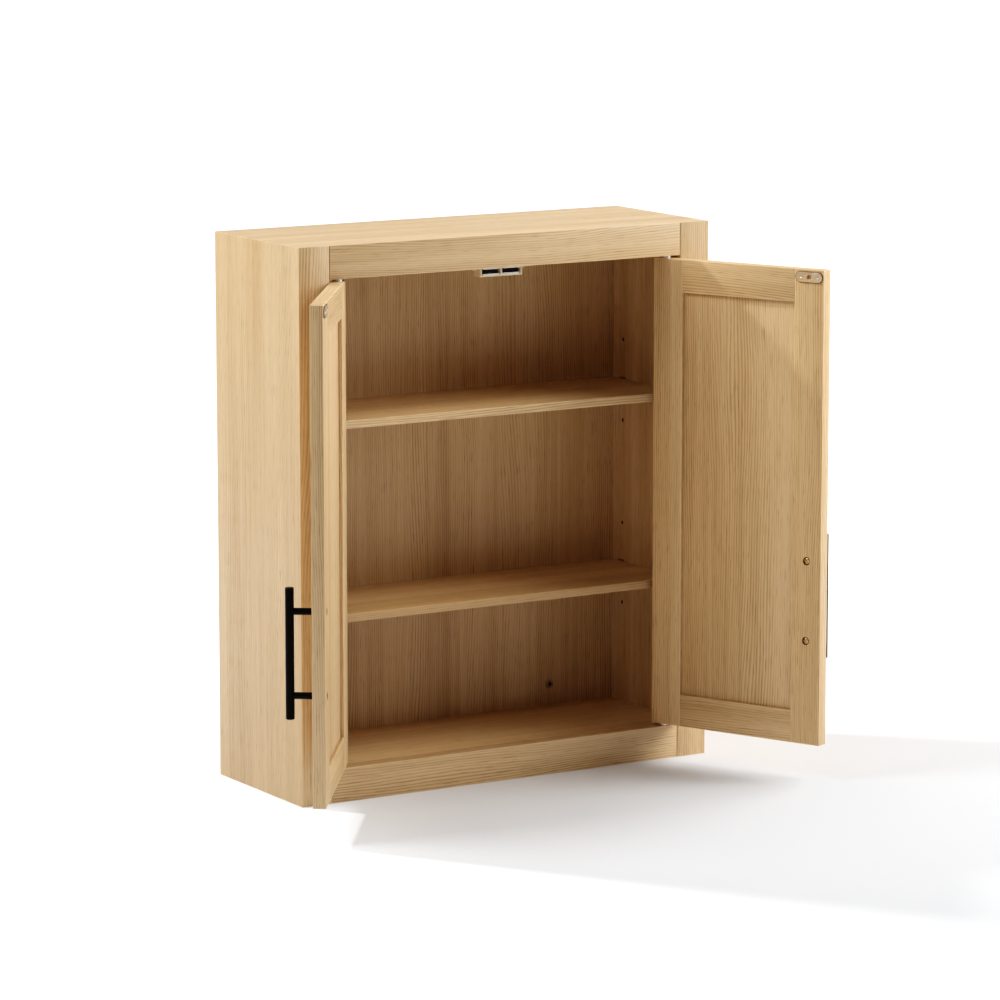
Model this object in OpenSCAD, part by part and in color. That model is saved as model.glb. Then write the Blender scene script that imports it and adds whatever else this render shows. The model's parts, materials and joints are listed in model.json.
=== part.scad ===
// Wall cabinet with a mitred carcass, a face frame, two adjustable shelves and two inset doors.
// The origin is the middle of the four wall-screw holes, on the plane of the wall.
// X runs to the right, Y runs into the wall and Z runs up. The front of the cabinet faces -Y.

/* [Cabinet] */
// Overall width of the carcass
body_w = 560; // [460:1:700]
// Overall height of the carcass
body_h = 652; // [540:1:800]
// Depth from the wall to the front of the face frame
body_d = 203; // [165:1:260]
// Thickness of the sides, the top and the face frame, which share mitred edges
board_t = 20; // [18:0.5:24]
// Thickness of the bottom panel
bottom_t = 15; // [12:0.5:18]
// Thickness of the back panel
back_t = 4; // [3:0.5:6]
// Depth of the groove that holds the back panel
groove_depth = 6; // [4:0.5:8]

/* [Face frame] */
// Width of each upright of the face frame
stile_w = 40; // [36:1:60]
// Height of the top rail
top_rail_h = 39; // [36:1:60]
// Height of the bottom rail
bottom_rail_h = 40; // [36:1:60]

/* [Wall fixing] */
// Height of the two hanging rails behind the back panel
hanging_rail_h = 52; // [44:1:80]
// Thickness of the hanging rails
hanging_rail_t = 20; // [16:1:24]
// Distance between the left and right wall screws
wall_hole_spacing = 335; // [260:1:400]
// Diameter of the wall-screw holes
wall_hole_d = 5.5; // [4.5:0.5:7]
// Outer diameter of the flange on each wall-hole bushing
bushing_flange_d = 11; // [10:0.5:14]

/* [Shelves] */
// Thickness of a shelf
shelf_t = 9.5; // [8:0.5:15]
// Gap between the swing of a door's hinge edge and the front edge of a shelf
shelf_clearance = 4.5; // [2:0.5:40]
// Height of the pin row that carries the lower shelf, above the foot of the cabinet
lower_shelf_pin_h = 214; // [180:1:240]
// Height of the pin row that carries the upper shelf, above the foot of the cabinet
upper_shelf_pin_h = 442; // [370:1:470]
// Distance between the pin holes of one group of three
pin_pitch = 50; // [32:1:60]
// Diameter of the shelf-pin holes
pin_hole_d = 5; // [4:0.5:7]
// Depth of the shelf-pin holes
pin_hole_depth = 10; // [8:0.5:14]
// Distance of each pin column from the nearer edge of the shelf
pin_inset = 22; // [16:1:40]
// Front-to-back width of a shelf support
support_w = 12; // [9:0.5:16]
// How far a shelf lifts off its supports
shelf_lift = 30; // [5:1:60]

/* [Doors] */
// Thickness of the door frames
door_t = 15; // [14:0.5:18]
// Width of the door stiles
door_stile_w = 40; // [36:1:60]
// Height of the door rails
door_rail_h = 39; // [36:1:60]
// Thickness of the door panels
panel_t = 5; // [4:0.5:6]
// Depth of the panel below the inner face of the door
panel_recess = 4.5; // [3:0.5:5.5]
// Gap between a door and its stile
side_gap = 2.8; // [2.6:0.1:4]
// Gap between the two closed doors
centre_gap = 3; // [2:0.1:5]
// Gap above the doors
top_gap = 3.2; // [2.4:0.1:5]
// Gap below the doors
bottom_gap = 2.6; // [2:0.1:5]
// How far the left door stands open
left_open = 125.4; // [0:0.1:126]
// How far the right door stands open
right_open = 114.1; // [0:0.1:126]

/* [Pivots] */
// How much nearer to the hinge edge of its door a pivot stands than the door is thick
pivot_offset = 2.6; // [2:0.1:3]
// Diameter of the pivot pins
pivot_pin_d = 5; // [4:0.5:6]
// Length of pin inside the rail
pivot_pin_seat = 18; // [12:1:20]
// Diameter of the bush flange that shows in the gap
bush_flange_d = 10.6; // [9:0.1:12]
// Outer diameter of the bush in the door
bush_d = 8; // [7:0.5:9]
// Length of the bush in the door
bush_len = 14; // [10:1:20]

/* [Pulls] */
// Distance between the two posts of a pull
pull_spacing = 96; // [64:1:128]
// Length of the pull bar
pull_bar_len = 150; // [140:1:190]
// Diameter of the pull bar
pull_bar_d = 10; // [8:0.5:14]
// Diameter of the posts
pull_post_d = 8; // [7:0.5:9]
// Distance from the door to the middle of the bar
pull_standoff = 27; // [22:1:40]
// Distance of the pull from the free edge of the door
pull_inset = 20; // [16:1:24]
// Height of the middle of the pull above the bottom of the door
pull_height = 173; // [120:1:300]

/* [Catch] */
// Width of the catch housing between its ears
catch_w = 57; // [50:1:70]
// Height of the catch housing
catch_h = 12; // [11:0.5:16]
// Depth of the catch housing
catch_d = 14.5; // [12:0.5:18]
// Length of a strike plate
strike_len = 37; // [32:1:39]
// Height of a strike plate
strike_h = 13; // [11:0.5:16]
// Thickness of a strike plate
strike_t = 1.2; // [1:0.1:2]
// Distance of a strike plate's middle below the top of the door
strike_drop = 8.8; // [8:0.1:12]

/* [Hidden] */
$fn = 48;

left = -1;
right = 1;
upper = 1;
lower = -1;

// Colours
oak = "#d9bb8c";
oak_edge = "#c9a877";
oak_shade = "#8a5a30";
core = "#b58f62";
steel = "#c4c6c8";
dark_steel = "#8d8f92";
black_metal = "#1b1b1c";
cream_plastic = "#e9dcc0";
ferrite = "#3c3a38";
brass = "#b8975a";

// Clearances
slip = 0.1;
running = 0.05;
body_clear = 0.3;

// Heights, from the foot of the cabinet to the frame of the wall screws
hole_spacing_z = body_h - board_t - bottom_rail_h - hanging_rail_h;
foot_z = -(bottom_rail_h + hanging_rail_h / 2) - hole_spacing_z / 2;
top_z = foot_z + body_h;
floor_z = foot_z + bottom_rail_h;
ceiling_z = top_z - board_t;
opening_top_z = top_z - top_rail_h;

// Widths and depths
half_w = body_w / 2;
inner_half_w = half_w - board_t;
half_opening = half_w - stile_w;
front_y = -body_d;
frame_back_y = front_y + board_t;
back_panel_y = -hanging_rail_t - back_t;

// Doors
door_w = half_opening - side_gap - centre_gap / 2;
door_bottom_z = floor_z + bottom_gap;
door_top_z = opening_top_z - top_gap;
door_h = door_top_z - door_bottom_z;
pivot_inset = door_t - pivot_offset;
pivot_x = half_opening - side_gap - pivot_inset;
pivot_y = front_y + door_t / 2;
free_edge = door_w - pivot_inset;
// Distance from the pivot to the corner of the hinge edge, which sweeps into the opening
hinge_edge_reach = norm([pivot_inset, door_t / 2]);
tongue_len = 8;
panel_mid_y = door_t / 2 - panel_recess - panel_t / 2;

// Shelves
shelf_side_gap = 2;
shelf_back_gap = 1;
shelf_half_w = inner_half_w - shelf_side_gap;
edging_t = 0.8;
shelf_front_y = pivot_y + hinge_edge_reach + shelf_clearance;
shelf_back_y = back_panel_y - shelf_back_gap;
front_pin_y = shelf_front_y + pin_inset;
rear_pin_y = back_panel_y - pin_inset;
support_plate_t = 1.2;
support_ledge_t = 1.5;
support_ledge_len = 12;
// The shelf top ends a little above the middle of its pins
shelf_above_pin = 2;
ledge_top_drop = shelf_t + body_clear - shelf_above_pin;
support_top_rise = 4;
support_pin_len = 8;

// Pull screws
pull_screw_d = 4;
pull_screw_head_d = 8;
pull_screw_head_h = 2.6;
counterbore_d = 10;
counterbore_depth = 3.2;
pull_thread_len = 10;
pull_recess_w = 4.4;
pull_recess_depth = 1.6;
pull_x = free_edge - pull_inset;
pull_z = door_bottom_z + pull_height;
bar_y = -door_t / 2 - pull_standoff;

// Catch and strike plates
catch_wall = 2;
catch_divider = 2.3;
catch_ear = 8;
catch_ear_t = 2.5;
catch_front_y = front_y + door_t + strike_t + body_clear + slip;
catch_screw_d = 3;
catch_screw_len = 14;
small_recess_w = 3.6;
small_recess_depth = 1;
cavity_w = (catch_w - 2 * catch_wall - catch_divider) / 2;
cavity_h = catch_h - 2 * catch_wall;
pole_plate_t = 1.2;
strike_inset = 20;
strike_screw_d = 3.2;
strike_screw_len = 11;
dimple_spacing = 23;
dimple_depth = 0.7;
dimple_d = 3;
dimple_floor_d = 1;

// Hidden fixings
dowel_d = 8;
dowel_len = 30;
frame_dowel_d = 6;
frame_dowel_len = 24;
frame_dowel_y = frame_back_y - 8;
cam_d = 15;
cam_h = 12;
cam_recess_w = 7;
cam_recess_depth = 2;
cam_setback = 24;
cam_bolt_d = 7;
cam_bolt_seat = 11;
block_w = catch_w + 2 * catch_ear + 8;
block_d = 22;

// A box from its lowest corner to its highest one
module block(low, high) {
    translate(low) cube(high - low);
}

// A cylinder that runs along X, from start for the given length
module rod_x(start, length, d) {
    translate(start) rotate([0, 90, 0]) cylinder(h = length, d = d);
}

// A cylinder that runs along Y, from start for the given length
module rod_y(start, length, d) {
    translate(start) rotate([-90, 0, 0]) cylinder(h = length, d = d);
}

// Draws its children as they stand for the left side, or mirrored for the right side
module on_side(side) {
    mirror([side == right ? 1 : 0, 0, 0]) children();
}

// A cross-shaped driver recess that goes to the given depth on either side of the plane Z = 0
module cross_recess(size, depth) {
    for (turn = [0, 90]) rotate(turn)
        translate([-size / 2, -size / 8, -depth]) cube([size, size / 4, 2 * depth]);
}

// ---- Carcass ----

// Heights of all pin holes in one column
pin_heights = [
    for (middle = [lower_shelf_pin_h, upper_shelf_pin_h]) for (step = [-1, 0, 1])
        foot_z + middle + step * pin_pitch
];

// Middles of the dowels that join one end of a panel or rail to a side, as depth and height
bottom_dowels = [for (y = [frame_back_y + 14, back_panel_y - 14]) [y, floor_z - bottom_t / 2]];
rail_dowels = [
    for (middle = [ceiling_z - hanging_rail_h / 2, floor_z + hanging_rail_h / 2]) for (step = [-1, 1])
        [-hanging_rail_t / 2, middle + step * hanging_rail_h / 4]
];
cam_ys = [frame_back_y + 40, back_panel_y - 40];
cam_z = floor_z - bottom_t / 2;

module side_panel(side) {
    color(oak) on_side(side) difference() {
        intersection() {
            translate([0, 0, foot_z]) linear_extrude(body_h) polygon([
                [-half_w, front_y], [-inner_half_w, frame_back_y], [-inner_half_w, 0], [-half_w, 0],
            ]);
            rotate([90, 0, 0]) linear_extrude(body_d) polygon([
                [-half_w, foot_z], [-inner_half_w, foot_z], [-inner_half_w, ceiling_z], [-half_w, top_z],
            ]);
        }
        block([-inner_half_w - groove_depth, back_panel_y - slip, floor_z - groove_depth],
              [-inner_half_w + 1, back_panel_y + back_t, top_z]);
        for (z = pin_heights) for (y = [front_pin_y, rear_pin_y])
            rod_x([-inner_half_w - pin_hole_depth, y, z], pin_hole_depth + 1, pin_hole_d);
        for (place = concat(bottom_dowels, rail_dowels))
            rod_x([-inner_half_w - dowel_len / 2, place.x, place.y], dowel_len, dowel_d);
        for (y = cam_ys) rod_x([-inner_half_w - cam_bolt_seat, y, cam_z], cam_bolt_seat + 1, cam_bolt_d);
    }
}

module top_panel() {
    color(oak) difference() {
        intersection() {
            rotate([90, 0, 0]) linear_extrude(body_d) polygon([
                [-half_w, top_z], [-inner_half_w, ceiling_z], [inner_half_w, ceiling_z], [half_w, top_z],
            ]);
            translate([-half_w, 0, 0]) rotate([90, 0, 90]) linear_extrude(body_w) polygon([
                [front_y, top_z], [frame_back_y, ceiling_z], [0, ceiling_z], [0, top_z],
            ]);
        }
        block([-half_w, back_panel_y - slip, ceiling_z - 1],
              [half_w, back_panel_y + back_t, ceiling_z + groove_depth]);
    }
}

module bottom_panel() {
    color(oak) difference() {
        block([-inner_half_w, frame_back_y, floor_z - bottom_t], [inner_half_w, 0, floor_z]);
        block([-half_w, back_panel_y - slip, floor_z - groove_depth],
              [half_w, back_panel_y + back_t, floor_z + 1]);
        for (side = [left, right]) on_side(side) {
            for (place = bottom_dowels)
                rod_x([-half_w, place.x, place.y], board_t + dowel_len / 2, dowel_d);
            for (y = cam_ys) {
                rod_x([-half_w, y, cam_z], board_t + cam_setback, cam_bolt_d);
                translate([-inner_half_w + cam_setback, y, floor_z - bottom_t - 1])
                    cylinder(h = cam_h + 1, d = cam_d);
            }
        }
    }
}

module back_panel() {
    edge = groove_depth - 0.5;
    color(oak_shade) difference() {
        block([-inner_half_w - edge, back_panel_y, floor_z - edge],
              [inner_half_w + edge, back_panel_y + back_t - slip, ceiling_z + edge]);
        for (place = wall_holes)
            rod_y([place.x, back_panel_y - 1, place.y], back_t + 2, bushing_d + 2 * slip);
    }
}

// ---- Face frame ----

module stile(side) {
    color(oak) on_side(side) difference() {
        intersection() {
            translate([0, 0, foot_z]) linear_extrude(body_h) polygon([
                [-half_w, front_y], [-half_opening, front_y],
                [-half_opening, frame_back_y], [-inner_half_w, frame_back_y],
            ]);
            frame_top_mitre(foot_z);
        }
        for (z = frame_dowel_heights)
            rod_x([-half_opening - frame_dowel_len / 2, frame_dowel_y, z], frame_dowel_len, frame_dowel_d);
    }
}

// A bar the full width of the cabinet whose top is mitred to the top panel
module frame_top_mitre(low_z) {
    translate([-half_w, 0, 0]) rotate([90, 0, 90]) linear_extrude(body_w) polygon([
        [front_y, low_z], [frame_back_y, low_z], [frame_back_y, ceiling_z], [front_y, top_z],
    ]);
}

frame_dowel_heights = [foot_z + 10, floor_z - 10, opening_top_z + 6, opening_top_z + 16];

module rail_end_holes() {
    for (side = [left, right]) on_side(side) for (z = frame_dowel_heights)
        rod_x([-half_opening - 1, frame_dowel_y, z], frame_dowel_len / 2 + 1, frame_dowel_d);
}

module top_rail() {
    color(oak) difference() {
        intersection() {
            frame_top_mitre(opening_top_z);
            block([-half_opening, front_y, foot_z], [half_opening, 0, top_z]);
        }
        rail_end_holes();
        for (side = [left, right]) on_side(side)
            translate([-pivot_x, pivot_y, opening_top_z - 1])
                cylinder(h = pivot_pin_seat + 1, d = pivot_pin_d);
    }
}

module bottom_rail() {
    color(oak) difference() {
        block([-half_opening, front_y, foot_z], [half_opening, frame_back_y, floor_z]);
        rail_end_holes();
        for (side = [left, right]) on_side(side)
            translate([-pivot_x, pivot_y, floor_z - pivot_pin_seat])
                cylinder(h = pivot_pin_seat + 1, d = pivot_pin_d);
    }
}

module face_frame_dowels() {
    color(core) for (side = [left, right]) on_side(side) for (z = frame_dowel_heights)
        rod_x([-half_opening - frame_dowel_len / 2, frame_dowel_y, z], frame_dowel_len, frame_dowel_d);
}

// ---- Wall fixing ----

wall_holes = [for (x = [-1, 1]) for (z = [-1, 1]) [x * wall_hole_spacing / 2, z * hole_spacing_z / 2]];
bushing_d = 8;
bushing_flange_t = 1.2;
bushing_seat = 6;

module hanging_rail(middle_z) {
    color(core) difference() {
        block([-inner_half_w, -hanging_rail_t, middle_z - hanging_rail_h / 2],
              [inner_half_w, 0, middle_z + hanging_rail_h / 2]);
        for (x = [-1, 1]) translate([x * wall_hole_spacing / 2, -hanging_rail_t - 1, middle_z]) {
            rod_y([0, 0, 0], hanging_rail_t + 2, wall_hole_d);
            rod_y([0, 0, 0], bushing_seat + 1, bushing_d + 2 * slip);
        }
        for (side = [left, right]) on_side(side) for (place = rail_dowels)
            rod_x([-half_w, place.x, place.y], board_t + dowel_len / 2, dowel_d);
    }
}

module wall_hole_bushings() {
    color(cream_plastic) for (place = wall_holes) difference() {
        union() {
            rod_y([place.x, back_panel_y - bushing_flange_t, place.y], bushing_flange_t, bushing_flange_d);
            rod_y([place.x, back_panel_y - slip, place.y], back_t + bushing_seat, bushing_d);
        }
        rod_y([place.x, -body_d, place.y], body_d, wall_hole_d);
    }
}

// ---- Hidden fixings of the carcass ----

module carcass_dowels() {
    color(core) for (side = [left, right]) on_side(side) for (place = concat(bottom_dowels, rail_dowels))
        rod_x([-inner_half_w - dowel_len / 2, place.x, place.y], dowel_len, dowel_d);
}

module cam_bolts() {
    neck_d = 4;
    head_t = 3;
    color(steel) for (side = [left, right]) on_side(side) for (y = cam_ys) {
        rod_x([-inner_half_w - cam_bolt_seat, y, cam_z], cam_bolt_seat, cam_bolt_d);
        rod_x([-inner_half_w - 1, y, cam_z], cam_setback - 2, neck_d);
        rod_x([-inner_half_w + cam_setback - 3.5, y, cam_z], head_t, cam_bolt_d - 2 * slip);
    }
}

module cam_locks() {
    slot = cam_bolt_d + 2 * slip;
    color(dark_steel) for (side = [left, right]) on_side(side) for (y = cam_ys)
        translate([-inner_half_w + cam_setback, y, floor_z - bottom_t]) difference() {
            cylinder(h = cam_h, d = cam_d);
            translate([-cam_d, -slot / 2, cam_z - floor_z + bottom_t - slot / 2])
                cube([cam_d + 1, slot, slot]);
            cross_recess(cam_recess_w, cam_recess_depth);
        }
}

// ---- Shelves ----

function ledge_top(pin_h) = foot_z + pin_h - ledge_top_drop;

module shelf(pin_h) {
    low_z = ledge_top(pin_h) + body_clear;
    color(oak_shade)
        block([-shelf_half_w, shelf_front_y + edging_t, low_z], [shelf_half_w, shelf_back_y, low_z + shelf_t]);
}

module shelf_edging(pin_h) {
    low_z = ledge_top(pin_h) + body_clear;
    color(oak_edge)
        block([-shelf_half_w, shelf_front_y, low_z], [shelf_half_w, shelf_front_y + edging_t, low_z + shelf_t]);
}

module shelf_supports(pin_h) {
    pin_z = foot_z + pin_h;
    ledge_z = ledge_top(pin_h);
    color(dark_steel) for (side = [left, right]) on_side(side) for (y = [front_pin_y, rear_pin_y])
        translate([-inner_half_w, y, 0]) {
            block([0, -support_w / 2, ledge_z - support_ledge_t],
                  [support_plate_t, support_w / 2, pin_z + support_top_rise]);
            block([0, -support_w / 2, ledge_z - support_ledge_t], [support_ledge_len, support_w / 2, ledge_z]);
            rod_x([-support_pin_len, 0, pin_z], support_pin_len + support_plate_t / 2, pin_hole_d - 2 * running);
        }
}

// ---- Doors ----

// Draws its children, made for a closed left door whose pivot is on the Z axis, in their place
module hang(side) {
    open = side == left ? left_open : right_open;
    on_side(side) translate([-pivot_x, pivot_y, 0]) rotate([0, 0, -open]) children();
}

module door_stile(low_x, high_x, groove_x) {
    difference() {
        block([low_x, -door_t / 2, door_bottom_z], [high_x, door_t / 2, door_top_z]);
        block([groove_x, panel_mid_y - panel_t / 2, door_bottom_z - 1],
              [groove_x + tongue_len + 1, panel_mid_y + panel_t / 2, door_top_z + 1]);
    }
}

module hinge_stile(side) {
    inner_x = door_stile_w - pivot_inset;
    color(oak) hang(side) difference() {
        door_stile(-pivot_inset, inner_x, inner_x - tongue_len);
        translate([0, 0, door_top_z - bush_len]) cylinder(h = bush_len + 1, d = bush_d);
        translate([0, 0, door_bottom_z - 1]) cylinder(h = bush_len + 1, d = bush_d);
    }
}

module lock_stile(side) {
    inner_x = free_edge - door_stile_w;
    color(oak) hang(side) difference() {
        door_stile(inner_x, free_edge, inner_x - 1);
        for (step = [-1, 1]) {
            rod_y([pull_x, -door_t, pull_z + step * pull_spacing / 2], 2 * door_t, pull_screw_d + 4 * slip);
            rod_y([pull_x, door_t / 2 - counterbore_depth, pull_z + step * pull_spacing / 2],
                  counterbore_depth + 1, counterbore_d);
        }
        rod_y([free_edge - strike_inset, door_t / 2 - strike_screw_len, door_top_z - strike_drop],
              strike_screw_len + 1, strike_screw_d);
    }
}

module door_rail(side, end) {
    low_z = end == upper ? door_top_z - door_rail_h : door_bottom_z;
    groove_z = end == upper ? low_z - 1 : low_z + door_rail_h - tongue_len;
    low_x = door_stile_w - pivot_inset;
    high_x = free_edge - door_stile_w;
    color(oak) hang(side) difference() {
        union() {
            block([low_x, -door_t / 2, low_z], [high_x, door_t / 2, low_z + door_rail_h]);
            block([low_x - tongue_len + slip, panel_mid_y - panel_t / 2, low_z],
                  [high_x + tongue_len - slip, panel_mid_y + panel_t / 2, low_z + door_rail_h]);
        }
        block([low_x - door_stile_w, panel_mid_y - panel_t / 2, groove_z],
              [high_x + door_stile_w, panel_mid_y + panel_t / 2, groove_z + tongue_len + 1]);
    }
}

module door_panel(side) {
    reach = tongue_len - 1;
    color(oak) hang(side) block(
        [door_stile_w - pivot_inset - reach, panel_mid_y - panel_t / 2, door_bottom_z + door_rail_h - reach],
        [free_edge - door_stile_w + reach, panel_mid_y + panel_t / 2, door_top_z - door_rail_h + reach]);
}

// ---- Pivots ----

// The pins stand in the rails and reach into the bushes in the door
pin_reach = 11;

module pivot_pin(side, end) {
    gap = end == upper ? top_gap : bottom_gap;
    low_z = end == upper ? opening_top_z - gap - pin_reach : floor_z - pivot_pin_seat;
    color(steel) on_side(side) translate([-pivot_x, pivot_y, low_z])
        cylinder(h = pivot_pin_seat + gap + pin_reach, d = pivot_pin_d);
}

module pivot_bush(side, end) {
    flange_t = (end == upper ? top_gap : bottom_gap) - body_clear - slip;
    color(steel) hang(side) translate([0, 0, end == upper ? door_top_z : door_bottom_z])
        mirror([0, 0, end == upper ? 0 : 1]) difference() {
            union() {
                cylinder(h = flange_t, d = bush_flange_d);
                translate([0, 0, -bush_len]) cylinder(h = bush_len + slip, d = bush_d);
            }
            translate([0, 0, -bush_len + 1])
                cylinder(h = bush_len + flange_t, d = pivot_pin_d + 2 * running);
        }
}

// ---- Pulls ----

module pull_bar(side) {
    chamfer = 0.6;
    color(black_metal) hang(side) translate([pull_x, bar_y, pull_z - pull_bar_len / 2]) rotate_extrude()
        polygon([
            [0, 0], [pull_bar_d / 2 - chamfer, 0], [pull_bar_d / 2, chamfer],
            [pull_bar_d / 2, pull_bar_len - chamfer], [pull_bar_d / 2 - chamfer, pull_bar_len], [0, pull_bar_len],
        ]);
}

module pull_posts(side) {
    color(black_metal) hang(side) for (step = [-1, 1]) difference() {
        rod_y([pull_x, bar_y, pull_z + step * pull_spacing / 2], pull_standoff, pull_post_d);
        translate([pull_x, bar_y, pull_z - pull_bar_len / 2]) cylinder(h = pull_bar_len, d = pull_bar_d);
        rod_y([pull_x, -door_t / 2 - pull_thread_len - 1, pull_z + step * pull_spacing / 2],
              pull_thread_len + 2, pull_screw_d);
    }
}

module pull_screws(side) {
    head_y = door_t / 2 - counterbore_depth;
    color(brass) hang(side) for (step = [-1, 1]) difference() {
        union() {
            rod_y([pull_x, -door_t / 2 - pull_thread_len, pull_z + step * pull_spacing / 2],
                  pull_thread_len + door_t - counterbore_depth + slip, pull_screw_d - 2 * slip);
            rod_y([pull_x, head_y, pull_z + step * pull_spacing / 2], pull_screw_head_h, pull_screw_head_d);
        }
        translate([pull_x, head_y + pull_screw_head_h, pull_z + step * pull_spacing / 2])
            rotate([-90, 0, 0]) rotate(45) cross_recess(pull_recess_w, pull_recess_depth);
    }
}

// ---- Catch and strike plates ----

module catch_housing() {
    low_z = opening_top_z - catch_h;
    color(cream_plastic) difference() {
        union() {
            block([-catch_w / 2, catch_front_y, low_z],
                  [catch_w / 2, catch_front_y + catch_d, opening_top_z]);
            block([-catch_w / 2 - catch_ear, catch_front_y, opening_top_z - catch_ear_t],
                  [catch_w / 2 + catch_ear, catch_front_y + catch_d, opening_top_z]);
        }
        for (side = [left, right]) on_side(side) {
            block([-catch_divider / 2 - cavity_w, catch_front_y - 1, low_z + catch_wall],
                  [-catch_divider / 2, catch_front_y + catch_d - catch_wall, low_z + catch_wall + cavity_h]);
            translate([catch_screw_x, catch_screw_y, low_z])
                cylinder(h = catch_h + 1, d = catch_screw_d + 4 * slip);
        }
    }
}

catch_screw_x = catch_w / 2 + catch_ear / 2;
catch_screw_y = catch_front_y + catch_d / 2;

module catch_magnets() {
    magnet_h = cavity_h - 2 * pole_plate_t - 2 * slip;
    mid_z = opening_top_z - catch_h / 2;
    color(ferrite) for (side = [left, right]) on_side(side) block(
        [-catch_divider / 2 - cavity_w + 3, catch_front_y + 2, mid_z - magnet_h / 2],
        [-catch_divider / 2 - 3, catch_front_y + catch_d - catch_wall - slip, mid_z + magnet_h / 2]);
}

module catch_pole_plates() {
    mid_z = opening_top_z - catch_h / 2;
    magnet_h = cavity_h - 2 * pole_plate_t - 2 * slip;
    color(steel) for (side = [left, right]) on_side(side) for (step = [-1, 1])
        translate([0, 0, mid_z + step * (magnet_h / 2 + pole_plate_t / 2)]) block(
            [-catch_divider / 2 - cavity_w + 1.5, catch_front_y + 0.4, -pole_plate_t / 2],
            [-catch_divider / 2 - 1.5, catch_front_y + catch_d - catch_wall - slip, pole_plate_t / 2]);
}

module catch_screws() {
    head_d = 6;
    head_h = 2;
    color(steel) for (side = [left, right]) on_side(side)
        translate([catch_screw_x, catch_screw_y, opening_top_z - catch_ear_t]) difference() {
            union() {
                translate([0, 0, -head_h]) cylinder(h = head_h, d = head_d);
                cylinder(h = catch_screw_len, d = catch_screw_d);
            }
            translate([0, 0, -head_h]) cross_recess(small_recess_w, small_recess_depth);
        }
}

module catch_block() {
    color(core) difference() {
        block([-block_w / 2, frame_back_y, opening_top_z],
              [block_w / 2, frame_back_y + block_d, ceiling_z]);
        for (side = [left, right]) on_side(side)
            translate([catch_screw_x, catch_screw_y, opening_top_z - 1])
                cylinder(h = catch_screw_len - catch_ear_t + 1.5, d = catch_screw_d);
    }
}

// Draws its children, made with the plate's outer face on the plane Z = 0, on the inner face of a door
module at_strike(side) {
    hang(side) translate([free_edge - strike_inset, door_t / 2 + strike_t, door_top_z - strike_drop])
        rotate([-90, 0, 0]) children();
}

strike_screw_head_d = 6.4;

module strike_plate(side) {
    run = (strike_len - strike_h) / 2;
    color(steel) at_strike(side) difference() {
        union() {
            for (x = [-run, run]) translate([x, 0, -strike_t]) cylinder(h = strike_t, d = strike_h);
            translate([-run, -strike_h / 2, -strike_t]) cube([2 * run, strike_h, strike_t]);
        }
        translate([0, 0, -strike_t - 1]) cylinder(h = strike_t + 2, d = strike_screw_d + 2 * slip);
        translate([0, 0, -strike_t]) cylinder(
            h = strike_t + slip, d1 = strike_screw_d + 2 * slip, d2 = strike_screw_head_d + 2 * slip);
        for (x = [-1, 1]) translate([x * dimple_spacing / 2, 0, -dimple_depth])
            cylinder(h = dimple_depth + slip, d1 = dimple_floor_d, d2 = dimple_d);
    }
}

module strike_screw(side) {
    color(dark_steel) at_strike(side) difference() {
        union() {
            translate([0, 0, -strike_t])
                cylinder(h = strike_t - slip, d1 = strike_screw_d, d2 = strike_screw_head_d - 5 * slip);
            translate([0, 0, -strike_t - strike_screw_len + 1])
                cylinder(h = strike_screw_len, d = strike_screw_d);
        }
        translate([0, 0, -slip]) cross_recess(small_recess_w, small_recess_depth);
    }
}

side_panel(left);  // left_side_panel
side_panel(right);  // right_side_panel
top_panel();
bottom_panel();
back_panel();
stile(left);  // left_stile
stile(right);  // right_stile
top_rail();
bottom_rail();
hanging_rail(hole_spacing_z / 2);  // upper_hanging_rail
hanging_rail(-hole_spacing_z / 2);  // lower_hanging_rail
catch_block();
face_frame_dowels();
carcass_dowels();
cam_bolts();
cam_locks();
wall_hole_bushings();
shelf(upper_shelf_pin_h);  // upper_shelf
shelf_edging(upper_shelf_pin_h);  // upper_shelf_edging
shelf_supports(upper_shelf_pin_h);  // upper_shelf_supports
shelf(lower_shelf_pin_h);  // lower_shelf
shelf_edging(lower_shelf_pin_h);  // lower_shelf_edging
shelf_supports(lower_shelf_pin_h);  // lower_shelf_supports
catch_housing();
catch_magnets();
catch_pole_plates();
catch_screws();
pivot_pin(left, upper);  // left_upper_pivot_pin
pivot_pin(left, lower);  // left_lower_pivot_pin
pivot_pin(right, upper);  // right_upper_pivot_pin
pivot_pin(right, lower);  // right_lower_pivot_pin
hinge_stile(left);  // left_door_hinge_stile
lock_stile(left);  // left_door_lock_stile
door_rail(left, upper);  // left_door_top_rail
door_rail(left, lower);  // left_door_bottom_rail
door_panel(left);  // left_door_panel
pivot_bush(left, upper);  // left_door_upper_bush
pivot_bush(left, lower);  // left_door_lower_bush
pull_bar(left);  // left_pull_bar
pull_posts(left);  // left_pull_posts
pull_screws(left);  // left_pull_screws
strike_plate(left);  // left_strike_plate
strike_screw(left);  // left_strike_screw
hinge_stile(right);  // right_door_hinge_stile
lock_stile(right);  // right_door_lock_stile
door_rail(right, upper);  // right_door_top_rail
door_rail(right, lower);  // right_door_bottom_rail
door_panel(right);  // right_door_panel
pivot_bush(right, upper);  // right_door_upper_bush
pivot_bush(right, lower);  // right_door_lower_bush
pull_bar(right);  // right_pull_bar
pull_posts(right);  // right_pull_posts
pull_screws(right);  // right_pull_screws
strike_plate(right);  // right_strike_plate
strike_screw(right);  // right_strike_screw
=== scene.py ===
"""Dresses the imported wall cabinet.

Oak boards with eased edges, black pulls, a magnetic catch, pivots and a plain stage.
"""

import json
import math

import bmesh
import bpy
from mathutils import Matrix, Vector

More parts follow.
